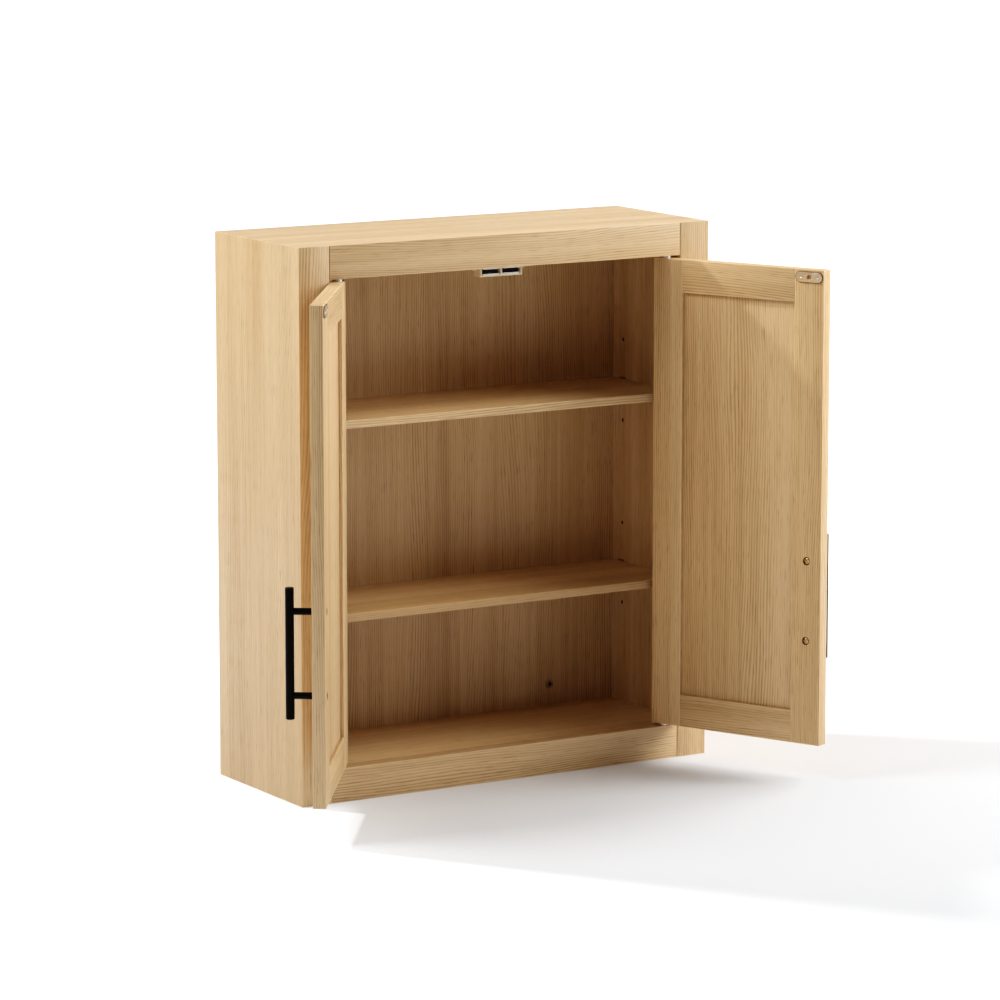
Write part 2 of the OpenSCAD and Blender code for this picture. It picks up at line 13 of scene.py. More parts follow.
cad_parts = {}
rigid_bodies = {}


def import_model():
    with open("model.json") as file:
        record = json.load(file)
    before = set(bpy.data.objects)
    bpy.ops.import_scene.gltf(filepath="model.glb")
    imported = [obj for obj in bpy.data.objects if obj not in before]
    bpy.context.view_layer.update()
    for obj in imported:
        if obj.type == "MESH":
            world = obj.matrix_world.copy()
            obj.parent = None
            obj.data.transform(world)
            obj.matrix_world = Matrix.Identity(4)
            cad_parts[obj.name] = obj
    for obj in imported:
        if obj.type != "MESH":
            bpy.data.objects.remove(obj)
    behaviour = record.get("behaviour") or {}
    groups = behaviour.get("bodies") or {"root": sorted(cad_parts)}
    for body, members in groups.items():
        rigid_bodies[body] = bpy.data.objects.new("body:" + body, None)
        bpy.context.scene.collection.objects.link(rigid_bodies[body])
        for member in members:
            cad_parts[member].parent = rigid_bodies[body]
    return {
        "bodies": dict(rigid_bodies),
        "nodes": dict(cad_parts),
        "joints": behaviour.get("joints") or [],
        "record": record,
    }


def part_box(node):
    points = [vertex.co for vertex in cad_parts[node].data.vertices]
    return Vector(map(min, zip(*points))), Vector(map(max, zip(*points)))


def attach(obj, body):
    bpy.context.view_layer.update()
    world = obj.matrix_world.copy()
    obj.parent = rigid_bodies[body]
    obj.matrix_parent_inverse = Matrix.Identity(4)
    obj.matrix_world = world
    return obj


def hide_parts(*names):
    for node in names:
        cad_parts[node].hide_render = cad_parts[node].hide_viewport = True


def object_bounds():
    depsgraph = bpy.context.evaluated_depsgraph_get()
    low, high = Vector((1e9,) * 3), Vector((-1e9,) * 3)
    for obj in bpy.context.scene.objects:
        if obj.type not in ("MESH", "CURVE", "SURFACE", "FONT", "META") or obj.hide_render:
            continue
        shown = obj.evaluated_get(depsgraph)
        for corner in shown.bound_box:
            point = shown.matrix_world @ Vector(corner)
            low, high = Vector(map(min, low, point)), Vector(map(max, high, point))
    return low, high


bl_info = {
    "name": "Wall Cabinet",
    "version": (1, 0, 0),
    "blender": (4, 5, 0),
    "location": "3D View > Sidebar > Cabinet",
    "description": "Builds the visible pieces of a wall cabinet on its packed frame",
    "category": "Object",
}

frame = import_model()
CAD_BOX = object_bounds()
NODES = frame["nodes"]
BODIES = frame["record"]["behaviour"]["bodies"]
BODY_OF = {node: body for body, nodes in BODIES.items() for node in nodes}
MM = 0.001
SIDES = ("left", "right")

# What counts as a sharp edge, smooth shading, a long edge, one point, one plane, near and straight
SHARP_EDGE = math.radians(35)
SMOOTH_ANGLE = 35
LONG_EDGE = 9.0 * MM
SAME_POINT = 0.005 * MM
FLAT_ANGLE = math.radians(0.3)
NEARBY = 0.1 * MM
STRAIGHT = 0.99

# How a board lies in the closed cabinet: the ways of its own width, thickness and length
UPRIGHT = Matrix(((1, 0, 0), (0, 1, 0), (0, 0, 1)))
UPRIGHT_SIDE = Matrix(((0, 1, 0), (-1, 0, 0), (0, 0, 1)))
LEVEL = Matrix(((0, 0, -1), (0, 1, 0), (1, 0, 0)))
LYING = Matrix(((0, 1, 0), (0, 0, 1), (1, 0, 0)))

# Colour shifts of whole boards, which paint light and shade on them
EVEN = (1.0, 1.0, 1.0)
# Painted light: the right door's boards lighter, as if better lit
LIT_LIGHTER = (1.09, 1.07, 1.03)
# Painted light: the top paler, where the light falls on it
LIT_PALER = (1.0, 1.04, 1.14)
# Painted shade: the boards inside the cabinet warmer, as wood looks in shade
SHADE_WARMER = (1.0, 0.96, 0.88)
# Painted shade: the lower shelf's edging darker, as if in shade
SHADE_DEEPER = (0.71, 0.63, 0.52)


# ---------------------------------------------------------------- settings


def colour_property(name, description, default):
    return bpy.props.FloatVectorProperty(
        name=name,
        description=description,
        default=default,
        subtype="COLOR",
        size=3,
        min=0.0,
        max=1.0,
    )


def length_property(name, description, default):
    return bpy.props.FloatProperty(
        name=name,
        description=description,
        default=default,
        min=0.0,
        max=0.1,
        unit="LENGTH",
        subtype="DISTANCE",
        precision=5,
    )


class CabinetSizes(bpy.types.PropertyGroup):
    """Sizes of the details that are added to the frame"""

    board_ease: length_property("Board edge", "Width of the eased edge on each board", 0.4 * MM)
    joint_ease: length_property("Joint edge", "Chamfer where a rail meets a stile", 0.6 * MM)
    joint_gap: length_property("Joint line", "Dark line where a rail meets a stile", 0.6 * MM)
    door_ease: length_property("Door edge", "Width of the eased edge on the door boards", 0.5 * MM)
    hardware_ease: length_property("Hardware edge", "Eased edge on metal and plastic", 0.3 * MM)
    # Width of the painted highlight along board edges, which also stands for rubbed wear
    wear_width: length_property("Edge highlight and wear", "Reach of the lighter edge across a board", 1.2 * MM)
    light: bpy.props.FloatProperty(
        name="Light",
        description="Power of a full share of the studio light",
        default=46.5,
        min=0.0,
        unit="POWER",
    )


class CabinetColours(bpy.types.PropertyGroup):
    """Colours of the cabinet's finishes"""

    oak_light: colour_property("Oak, light", "Early wood of the oak", (0.68, 0.457, 0.240))
    oak_dark: colour_property("Oak, dark", "Late wood of the oak", (0.436, 0.257, 0.109))
    oak_pore: colour_property("Oak pores", "Pores of the oak", (0.25, 0.140, 0.055))
    # Colour of the hole walls: the bare core, darkened as painted shade in the holes
    core: colour_property("Core", "Dark board inside the drilled holes", (0.050, 0.026, 0.011))
    black: colour_property("Pulls", "Powder coat of the pulls", (0.0030, 0.0022, 0.0016))
    cream: colour_property("Catch", "Plastic of the catch", (0.72, 0.58, 0.38))
    floor: colour_property("Floor", "Plain floor under the cabinet", (0.765, 0.775, 0.79))


# ---------------------------------------------------------------- places


def door_turn(body):
    """The turn that takes a door from closed to its place at rest; none for the other bodies."""
    for joint in frame["joints"]:
        if joint["child"] == body and joint["type"] == "hinge":
            pivot = Matrix.Translation(Vector(joint["pos_m"]))
            opened = math.radians(-joint["range_deg"][0])
            return pivot @ Matrix.Rotation(opened, 4, Vector(joint["axis"])) @ pivot.inverted()
    return Matrix.Identity(4)


TURNS = {body: door_turn(body) for body in frame["bodies"]}


def closed_box(node):
    """The lowest and highest corner of a CAD node with its door closed."""
    back = TURNS[BODY_OF[node]].inverted()
    points = [back @ v.co for v in NODES[node].data.vertices]
    low = Vector([min(p[i] for p in points) for i in range(3)])
    high = Vector([max(p[i] for p in points) for i in range(3)])
    return low, high


# ---------------------------------------------------------------- making pieces


def deselect_everything():
    if bpy.context.object and bpy.context.object.mode != "OBJECT":
        bpy.ops.object.mode_set(mode="OBJECT")
    bpy.ops.object.select_all(action="DESELECT")


def take(piece):
    """Makes the piece the only selected object and the active one."""
    deselect_everything()
    piece.select_set(True)
    bpy.context.view_layer.objects.active = piece


def copy_of_node(node, name):
    """A copy of a CAD node's mesh as a new piece, its loose triangles merged into clean faces."""
    piece = bpy.data.objects.new(name, NODES[node].data.copy())
    piece.data.materials.clear()
    bpy.context.scene.collection.objects.link(piece)
    take(piece)
    bpy.ops.mesh.customdata_custom_splitnormals_clear()
    bpy.ops.object.mode_set(mode="EDIT")
    bpy.ops.mesh.select_mode(type="VERT")
    bpy.ops.mesh.select_all(action="SELECT")
    bpy.ops.mesh.remove_doubles(threshold=SAME_POINT)
    bpy.ops.mesh.dissolve_limited(angle_limit=FLAT_ANGLE)
    bpy.ops.object.mode_set(mode="OBJECT")
    return piece


def select_edges(piece, wanted):
    """In edit mode, selects the sharp edges that wanted(middle, direction, length) picks.

    Returns how many there are.
    """
    bpy.ops.mesh.select_mode(type="EDGE")
    bpy.ops.mesh.select_all(action="DESELECT")
    shape = bmesh.from_edit_mesh(piece.data)
    count = 0
    for edge in shape.edges:
        if len(edge.link_faces) != 2 or edge.calc_face_angle() < SHARP_EDGE:
            continue
        a, b = (v.co for v in edge.verts)
        if wanted((a + b) / 2, (b - a).normalized(), (b - a).length):
            edge.select = True
            count += 1
    shape.select_flush_mode()
    bmesh.update_edit_mesh(piece.data)
    return count


def ease(piece, width, wanted, segments=2):
    """Bevels the chosen sharp edges of a piece."""
    take(piece)
    bpy.ops.object.mode_set(mode="EDIT")
    if not select_edges(piece, wanted):
        raise RuntimeError(f"{piece.name}: no edge to ease")
    bpy.ops.mesh.bevel(
        offset=width, offset_type="OFFSET", segments=segments, profile=0.5, clamp_overlap=True
    )
    bpy.ops.object.mode_set(mode="OBJECT")


def long_edges(shortest=LONG_EDGE):
    """Picks every sharp edge that is longer than the shortest."""
    return lambda middle, direction, length: length > shortest


def select_faces(piece, wanted):
    """In edit mode, selects the faces that wanted(face) picks."""
    bpy.ops.mesh.select_mode(type="FACE")
    bpy.ops.mesh.select_all(action="DESELECT")
    shape = bmesh.from_edit_mesh(piece.data)
    for face in shape.faces:
        face.select = wanted(face)
    bmesh.update_edit_mesh(piece.data)


def finish_piece(piece, node, material, smooth=SMOOTH_ANGLE):
    """Gives a finished piece its shading, its material in one slot and its body, and hides the node
    that it stands for.
    """
    take(piece)
    bpy.ops.object.shade_smooth_by_angle(angle=math.radians(smooth))
    piece.data.materials.clear()
    piece.data.materials.append(material)
    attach(piece, BODY_OF[node])
    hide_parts(node)


def dress_node(node, material):
    """Gives a CAD node that stays as it is a better material."""
    slots = NODES[node].material_slots
    if not slots:
        raise RuntimeError(f"{node} has no material slot")
    for place in slots:
        place.material = material


# ---------------------------------------------------------------- shader groups


class Nodes:
    """Short calls for placing and joining shader nodes in one tree"""

    def __init__(self, tree):
        self.tree = tree

    def new(self, kind, settings=None, **inputs):
        made = self.tree.nodes.new(kind)
        for key, value in (settings or {}).items():
            setattr(made, key, value)
        for key, value in inputs.items():
            self.feed(made, key.replace("_", " "), value)
        return made

    def feed(self, made, socket, value):
        target = made.inputs[int(socket)] if str(socket).isdigit() else made.inputs[socket]
        if isinstance(value, bpy.types.NodeSocket):
            self.tree.links.new(value, target)
        elif value is not None:
            target.default_value = value

    def math(self, operation, *values, clamp=False):
        made = self.new("ShaderNodeMath", {"operation": operation, "use_clamp": clamp})
        for place, value in enumerate(values):
            self.feed(made, place, value)
        return made.outputs[0]

    def vector(self, operation, *values):
        made = self.new("ShaderNodeVectorMath", {"operation": operation})
        for place, value in enumerate(values):
            self.feed(made, place, value)
        return made.outputs[0]

    def noise(self, place, scale, detail=2.0, roughness=0.5):
        return self.new(
            "ShaderNodeTexNoise", Vector=place, Scale=scale, Detail=detail, Roughness=roughness
        ).outputs["Fac"]

    def stretch(self, place, x, y, z):
        return self.vector("MULTIPLY", place, (x, y, z))

    def streaks(self, place, across, along, detail=2.0, roughness=0.5):
        """Noise drawn out along Z: so many marks in a metre across the grain and along it."""
        return self.noise(self.stretch(place, across, across, along), 1.0, detail, roughness)

    def spread(self, noise, low, high):
        """Noise mostly lies between 0.3 and 0.7; this lays it out from low to high."""
        return self.remap(noise, 0.3, 0.7, low, high)

    def remap(self, value, low, high, to_low=0.0, to_high=1.0, smooth=False):
        kind = "SMOOTHSTEP" if smooth else "LINEAR"
        made = self.new("ShaderNodeMapRange", {"interpolation_type": kind})
        for place, number in enumerate((value, low, high, to_low, to_high)):
            self.feed(made, place, number)
        return made.outputs[0]

    def length(self, a, b):
        """The length of a line that runs a one way and b square to it."""
        squares = self.math("ADD", self.math("MULTIPLY", a, a), self.math("MULTIPLY", b, b))
        return self.math("SQRT", squares)

    def mix(self, share, first, second):
        made = self.new("ShaderNodeMix", {"data_type": "RGBA"})
        self.feed(made, 0, share)
        self.feed(made, 6, first)
        self.feed(made, 7, second)
        return made.outputs[2]


def new_group(name, inputs, outputs):
    """An empty shader node group; returns its nodes, its inputs and its output node."""
    tree = bpy.data.node_groups.new(name, "ShaderNodeTree")
    kinds = {"colour": "NodeSocketColor", "number": "NodeSocketFloat", "vector": "NodeSocketVector"}
    for label, kind, default in inputs:
        socket = tree.interface.new_socket(name=label, in_out="INPUT", socket_type=kinds[kind])
        if default is not None:
            socket.default_value = default
    for label, kind in outputs:
        tree.interface.new_socket(name=label, in_out="OUTPUT", socket_type=kinds[kind])
    nodes = Nodes(tree)
    given = tree.nodes.new("NodeGroupInput").outputs
    result = tree.nodes.new("NodeGroupOutput")
    return nodes, given, result


def oak_grain_group():
    """Flat-sawn oak, with its grain along Z.

    Growth rings lie around a heart line, under fibres, pores, broad bands and patches.
    """
    n, given, result = new_group(
        "oak_grain",
        [
            ("Vector", "vector", None),
            ("Light", "colour", (0.6, 0.4, 0.2, 1)),
            ("Dark", "colour", (0.4, 0.25, 0.1, 1)),
            ("Pore", "colour", (0.2, 0.1, 0.05, 1)),
            ("Heart", "number", 0.3),
            ("Depth", "number", 0.03),
            ("Taper", "number", 0.06),
            ("Rings per metre", "number", 340.0),
        ],
        [("Color", "colour"), ("Rough", "number"), ("Height", "number")],
    )
    place = given["Vector"]
    apart = n.new("ShaderNodeSeparateXYZ", Vector=place).outputs
    # Going round a corner the pattern carries on, so edges show the same straight grain as faces
    across = n.math("ADD", apart[0], apart[1])
    sway = n.streaks(place, 8.0, 1.4, roughness=0.45)
    ripple = n.streaks(place, 60.0, 7.0)
    side = n.math("ADD", n.math("SUBTRACT", across, given["Heart"]), n.spread(sway, -0.013, 0.013))
    below = n.math("ADD", given["Depth"], n.math("MULTIPLY", apart[2], given["Taper"]))
    reach = n.math("ADD", n.length(side, below), n.spread(ripple, -0.9 * MM, 0.9 * MM))
    rings = n.math("FRACT", n.math("MULTIPLY", reach, given["Rings per metre"]))
    rise = n.remap(rings, 0.15, 0.70, smooth=True)
    fall = n.remap(rings, 0.70, 0.95, 1.0, 0.0, smooth=True)
    late_wood = n.math("MULTIPLY", rise, fall)
    vary = n.streaks(place, 45.0, 1.3)
    late_wood = n.math("MULTIPLY", late_wood, n.remap(vary, 0.32, 0.68, 0.25, 1.2))
    fibre = n.streaks(place, 430.0, 7.0, 2.5, 0.6)
    soft_fibre = n.streaks(place, 150.0, 2.5)
    bands = n.streaks(place, 26.0, 0.5)
    patches = n.streaks(place, 8.0, 2.5, 1.0)
    dark = n.math("MULTIPLY", late_wood, 0.80)
    dark = n.math("ADD", dark, n.spread(fibre, -0.17, 0.20))
    dark = n.math("ADD", dark, n.spread(soft_fibre, -0.12, 0.14))
    dark = n.math("ADD", dark, n.remap(bands, 0.33, 0.67, -0.22, 0.32))
    dark = n.math("ADD", dark, n.spread(patches, -0.05, 0.10), clamp=True)
    colour = n.mix(dark, given["Light"], given["Dark"])
    pores = n.remap(n.streaks(place, 1100.0, 42.0, 1.0), 0.58, 0.68, smooth=True)
    pores = n.math("MULTIPLY", pores, n.remap(late_wood, 0.0, 1.0, 0.35, 1.0))
    colour = n.mix(n.math("MULTIPLY", pores, 0.75), colour, given["Pore"])
    rough = n.math("ADD", n.spread(fibre, -0.05, 0.06), n.math("MULTIPLY", pores, 0.15))
    height = n.math("SUBTRACT", n.math("MULTIPLY", fibre, 0.35), n.math("MULTIPLY", pores, 0.65))
    n.feed(result, "Color", colour)
    n.feed(result, "Rough", rough)
    n.feed(result, "Height", height)
    return n.tree


def edge_wear_group():
    """Masks for the painted highlight, with uneven rubbed wear, along the edges of a box-shaped
    board, and for the painted shade on the bare walls of its holes.

    Mask is 1 along the edges and fades unevenly to 0; the second output is 1 inside, on the walls
    of holes.
    """
    n, given, result = new_group(
        "edge_highlight_and_wear",
        [
            ("Vector", "vector", None),
            ("Half size", "vector", (0.1, 0.1, 0.1)),
            ("Width", "number", 0.001),
        ],
        [("Mask", "number"), ("Core", "number")],
    )
    inward = n.vector("SUBTRACT", given["Half size"], n.vector("ABSOLUTE", given["Vector"]))
    apart = n.new("ShaderNodeSeparateXYZ", Vector=inward).outputs
    lower = n.math("MINIMUM", apart[0], apart[1])
    upper = n.math("MAXIMUM", apart[0], apart[1])
    from_edge = n.math("MAXIMUM", lower, n.math("MINIMUM", upper, apart[2]))
    rub = n.streaks(given["Vector"], 40.0, 40.0, 3.0, 0.6)
    reach = n.math("MULTIPLY", given["Width"], n.remap(rub, 0.35, 0.65, 0.5, 1.5))
    near = n.math("DIVIDE", from_edge, reach)
    n.feed(result, "Mask", n.remap(near, 0.2, 1.0, 1.0, 0.0, smooth=True))
    # Painted shade in the holes: faces that lie deep inside the board's box
    deepest = n.math("MINIMUM", lower, apart[2])
    n.feed(result, "Core", n.remap(deepest, 0.6 * MM, 1.2 * MM, smooth=True))
    return n.tree


def handling_group():
    """Faint smudges and fine dust on smooth surfaces."""
    n, given, result = new_group(
        "handling",
        [("Vector", "vector", None), ("Scale", "number", 1.0)],
        [("Smudge", "number"), ("Dust", "number"), ("Grit", "number")],
    )
    place = n.new("ShaderNodeVectorMath", {"operation": "SCALE"})
    n.feed(place, 0, given["Vector"])
    n.feed(place, "Scale", given["Scale"])
    place = place.outputs[0]
    n.feed(result, "Smudge", n.remap(n.noise(place, 90.0, 3.0, 0.6), 0.40, 0.70, smooth=True))
    n.feed(result, "Dust", n.remap(n.noise(place, 2600.0, 2.0, 0.6), 0.58, 0.75, smooth=True))
    n.feed(result, "Grit", n.noise(place, 5200.0, 2.0, 0.6))
    return n.tree


def chip_group():
    """Pressed wood chips, as on the raw face of a board."""
    n, given, result = new_group(
        "wood_chips",
        [
            ("Vector", "vector", None),
            ("Light", "colour", (0.6, 0.45, 0.3, 1)),
            ("Dark", "colour", (0.3, 0.2, 0.1, 1)),
        ],
        [("Color", "colour"), ("Height", "number")],
    )
    chips = n.stretch(given["Vector"], 300.0, 700.0, 700.0)
    cells = n.new("ShaderNodeTexVoronoi", Vector=chips, Scale=1.0)
    shade = n.new("ShaderNodeSeparateColor", Color=cells.outputs["Color"]).outputs[0]
    fine = n.noise(given["Vector"], 900.0, 3.0, 0.6)
    share = n.math("ADD", n.math("MULTIPLY", shade, 0.6), n.spread(fine, -0.1, 0.4), clamp=True)
    n.feed(result, "Color", n.mix(share, given["Light"], given["Dark"]))
    height = n.math("ADD", n.math("MULTIPLY", shade, 0.5), n.math("MULTIPLY", fine, 0.5))
    n.feed(result, "Height", height)
    return n.tree


GROUPS = {}


def group(name):
    """The shader group of that name, built the first time that it is asked for."""
    makers = {
        "oak_grain": oak_grain_group,
        "edge_highlight_and_wear": edge_wear_group,
        "handling": handling_group,
        "wood_chips": chip_group,
    }
    if name not in GROUPS:
        GROUPS[name] = makers[name]()
    return GROUPS[name]


# ---------------------------------------------------------------- materials

OAK_ROUGHNESS = 0.46
OAK_SPECULAR = 0.42
RAW_ROUGHNESS = 0.8
# How each oak board is cut unless it says otherwise
HEART, DEPTH, TAPER, RINGS = 0.3, 0.03, 0.06, 330.0
# Growth rings in a metre of the wide panels
PANEL_RINGS = 300.0
# How far the patterns of two boards with neighbouring seeds lie apart
SEED_STEP = (0.731, 0.377, 1.913)


def start_material(name):
    """A new material with its Principled shader; returns the material, its nodes and the shader."""
    material = bpy.data.materials.new(name)
    material.use_nodes = True
    n = Nodes(material.node_tree)
    return material, n, material.node_tree.nodes["Principled BSDF"]


def place_group(n, name, **inputs):
    made = n.new("ShaderNodeGroup", {"node_tree": group(name)})
    for key, value in inputs.items():
        n.feed(made, key.replace("_", " "), value)
    return made.outputs


def opaque(colour):
    return (*colour, 1.0)


def board_place(n, node, lie):
    """Coordinates from a board's middle with its grain along Z, and its half size."""
    low, high = closed_box(node)
    turn = TURNS[BODY_OF[node]]
    middle = turn @ ((low + high) / 2)
    to_board = lie @ turn.to_3x3().inverted()
    coordinates = n.new("ShaderNodeTexCoord").outputs["Object"]
    mapping = n.new("ShaderNodeMapping", Vector=coordinates)
    mapping.inputs["Rotation"].default_value = to_board.to_euler("XYZ")
    mapping.inputs["Location"].default_value = -(to_board @ middle)
    half = lie @ ((high - low) / 2)
    return mapping.outputs[0], Vector([abs(v) for v in half])


def oak_material(node, lie, seed, heart=HEART, depth=DEPTH, taper=TAPER, rings=RINGS, tone=EVEN):
    """Oak laminate for one board; seed moves the pattern, heart is the heart line's place on it,
    tone paints light or shade over the whole board.
    """
    colours = bpy.context.scene.cabinet_colours
    light, dark = colours.oak_light, colours.oak_dark
    material, n, shader = start_material(f"oak_{node}")
    place, half = board_place(n, node, lie)
    step = [part * seed for part in SEED_STEP]
    grain = place_group(
        n,
        "oak_grain",
        Vector=n.vector("ADD", place, step),
        Light=opaque([t * c for t, c in zip(tone, light)]),
        Dark=opaque([t * c for t, c in zip(tone, dark)]),
        Pore=opaque(colours.oak_pore),
        Heart=step[0] + heart,
        Depth=depth - taper * step[2],
        Taper=taper,
        Rings_per_metre=rings,
    )
    wear_width = bpy.context.scene.cabinet_sizes.wear_width
    edge_and_hole_masks = place_group(n, "edge_highlight_and_wear", Vector=place, Half_size=half, Width=wear_width)
    # Painted highlight along the edges, partly rubbed wear: the edges paler than the oak
    pale = opaque([min(1.0, 1.28 * t * c) for t, c in zip(tone, light)])
    highlit_and_worn = n.mix(n.math("MULTIPLY", edge_and_hole_masks["Mask"], 0.55), grain["Color"], pale)
    # Hole walls get the bare core's colour, darkened as painted shade
    n.feed(shader, "Base Color", n.mix(edge_and_hole_masks["Core"], highlit_and_worn, opaque(colours.core)))
    marks = place_group(n, "handling", Vector=place, Scale=0.4)
    handled = n.remap(marks["Smudge"], 0.0, 1.0, OAK_ROUGHNESS, OAK_ROUGHNESS - 0.06)
    n.feed(shader, "Roughness", n.math("ADD", grain["Rough"], handled))
    bump = n.new("ShaderNodeBump", Strength=0.35, Distance=0.15 * MM, Height=grain["Height"])
    n.feed(shader, "Normal", bump.outputs[0])
    shader.inputs["Specular IOR Level"].default_value = OAK_SPECULAR
    return material


def object_place(n):
    return n.new("ShaderNodeTexCoord").outputs["Object"]


def metal_material(name, colour, rough, dull=0.55):
    """Plated steel or die-cast metal with faint smudges and fine unevenness."""
    material, n, shader = start_material(name)
    marks = place_group(n, "handling", Vector=object_place(n), Scale=1.0)
    darker = opaque([dull * c for c in colour])
    smudged = n.mix(n.math("MULTIPLY", marks["Smudge"], 0.35), opaque(colour), darker)
    n.feed(shader, "Base Color", smudged)
    n.feed(shader, "Roughness", n.math("ADD", n.math("MULTIPLY", marks["Smudge"], 0.16), rough))
    bump = n.new("ShaderNodeBump", Strength=0.15, Distance=0.03 * MM, Height=marks["Grit"])
    n.feed(shader, "Normal", bump.outputs[0])
    shader.inputs["Metallic"].default_value = 1.0
    return material


def coated_material(name, colour, rough, coat_grain=0.06, shine=0.5):
    """Powder coat or moulded plastic: even colour, fine texture, a little dust."""
    material, n, shader = start_material(name)
    marks = place_group(n, "handling", Vector=object_place(n), Scale=1.0)
    dusty = opaque([min(1.0, 0.9 * c + 0.010) for c in colour])
    share = n.math("MULTIPLY", marks["Dust"], 0.30)
    n.feed(shader, "Base Color", n.mix(share, opaque(colour), dusty))
    n.feed(shader, "Roughness", n.math("ADD", n.math("MULTIPLY", marks["Smudge"], 0.10), rough))
    shader.inputs["Specular IOR Level"].default_value = shine
    bump = n.new("ShaderNodeBump", Strength=0.25, Distance=coat_grain * MM, Height=marks["Grit"])
    n.feed(shader, "Normal", bump.outputs[0])
    return material


def raw_board_material(name, light, dark):
    """Raw chipboard of the hidden rails and blocks."""
    material, n, shader = start_material(name)
    place = object_place(n)
    chips = place_group(n, "wood_chips", Vector=place, Light=opaque(light), Dark=opaque(dark))
    n.feed(shader, "Base Color", chips["Color"])
    bump = n.new("ShaderNodeBump", Strength=0.4, Distance=0.2 * MM, Height=chips["Height"])
    n.feed(shader, "Normal", bump.outputs[0])
    rough = n.remap(chips["Height"], 0.0, 1.0, RAW_ROUGHNESS + 0.1, RAW_ROUGHNESS - 0.1)
    n.feed(shader, "Roughness", rough)
    return material


def strike_material(node):
    """Nickel plate with painted shade around its outline, on a plate with round ends."""
    # The warm tint is painted reflection of the oak around the plate, over the nickel's own colour
    material = metal_material(f"nickel_{node}", (0.80, 0.66, 0.48), 0.36, dull=0.8)
    n = Nodes(material.node_tree)
    shader = material.node_tree.nodes["Principled BSDF"]
    place, half = board_place(n, node, UPRIGHT)
    apart = n.new("ShaderNodeSeparateXYZ", Vector=place).outputs
    past_straight = n.math("SUBTRACT", n.math("ABSOLUTE", apart[0]), half.x - half.z)
    along = n.math("MAXIMUM", past_straight, 0.0)
    out = n.length(along, apart[2])
    # Painted shade: the plate's outline darkened
    painted_rim_shade = n.remap(out, half.z - 0.9 * MM, half.z - 0.3 * MM, smooth=True)
    bright = shader.inputs["Base Color"].links[0].from_socket
    n.feed(shader, "Base Color", n.mix(painted_rim_shade, bright, opaque((0.13, 0.08, 0.04))))
    return material


FINISHES = {}


def finish(name):
    """A shared finish of the hardware, made the first time that it is asked for."""
    colours = bpy.context.scene.cabinet_colours
    makers = {
        "black_pull": lambda: coated_material("black_pull", colours.black, 0.34, shine=0.05),
        "cream_plastic": lambda: coated_material("cream_plastic", colours.cream, 0.42, 0.05),
        "bright_steel": lambda: metal_material("bright_steel", (0.86, 0.84, 0.80), 0.34, dull=0.8),
        # Nickel tinted warm, partly as painted reflection of the oak
        "nickel": lambda: metal_material("nickel", (0.80, 0.66, 0.48), 0.36, dull=0.8),
        "yellow_zinc": lambda: metal_material("yellow_zinc", (0.66, 0.45, 0.22), 0.20, dull=0.6),
        "bronze": lambda: metal_material("bronze", (0.44, 0.27, 0.15), 0.44),
        "cast_zinc": lambda: metal_material("cast_zinc", (0.40, 0.40, 0.41), 0.48),
        "ferrite": lambda: coated_material("ferrite", (0.012, 0.008, 0.005), 0.7, 0.08, 0.05),
        "chipboard": lambda: raw_board_material(
            "chipboard", (0.52, 0.38, 0.23), (0.28, 0.18, 0.09)
        ),
    }
    if name not in FINISHES:
        FINISHES[name] = makers[name]()
    return FINISHES[name]


# ---------------------------------------------------------------- boards


def board(node, lie, seed, width=None, **look):
    """One oak board: the node's own shape with eased edges and its own stretch of grain."""
    sizes = bpy.context.scene.cabinet_sizes
    piece = copy_of_node(node, f"{node}_oak")
    ease(piece, width or sizes.board_ease, long_edges())
    finish_piece(piece, node, oak_material(node, lie, seed, **look))


def jointed_board(node, lie, seed, joint_x, **look):
    """A face-frame board with a wider chamfer on the front edges at the stile joints."""
    sizes = bpy.context.scene.cabinet_sizes
    front = closed_box(node)[0].y
    piece = copy_of_node(node, f"{node}_oak")
    if lie is LEVEL:
        open_joint(piece, joint_x, sizes.joint_gap)
        joint_x -= sizes.joint_gap

    def at_joint(middle, direction, length):
        upright = abs(direction.z) > STRAIGHT and length > LONG_EDGE
        return upright and abs(abs(middle.x) - joint_x) < NEARBY and abs(middle.y - front) < NEARBY

    ease(piece, sizes.joint_ease, at_joint)
    ease(piece, sizes.board_ease, long_edges())
    finish_piece(piece, node, oak_material(node, lie, seed, **look))


def open_joint(piece, joint_x, gap):
    """Draws both ends of a rail back from the stiles, which leaves the dark line of the joint."""
    for side in (-1.0, 1.0):

        def at_end(face):
            in_place = abs(face.calc_center_median().x - side * joint_x) < 0.2 * NEARBY
            return in_place and face.normal.x * side > STRAIGHT

        take(piece)
        bpy.ops.object.mode_set(mode="EDIT")
        select_faces(piece, at_end)
        bpy.ops.transform.translate(value=(-side * gap, 0.0, 0.0))
        bpy.ops.object.mode_set(mode="OBJECT")


class CABINET_OT_carcass(bpy.types.Operator):
    """Sides, top, floor and back of the cabinet"""

    bl_idname = "cabinet.carcass"
    bl_label = "Carcass"

    def execute(self, context):
        board("left_side_panel", UPRIGHT_SIDE, 3)
        board("right_side_panel", UPRIGHT_SIDE, 5)
        # The top is painted paler where light falls; the floor and back are painted warmer as in
        # shade
        board("top_panel", LYING, 7, heart=0.25, tone=LIT_PALER)
        board("bottom_panel", LYING, 11, tone=SHADE_WARMER)
        board("back_panel", UPRIGHT, 13, heart=0.115, taper=0.07, rings=PANEL_RINGS, tone=SHADE_WARMER)
        return {"FINISHED"}


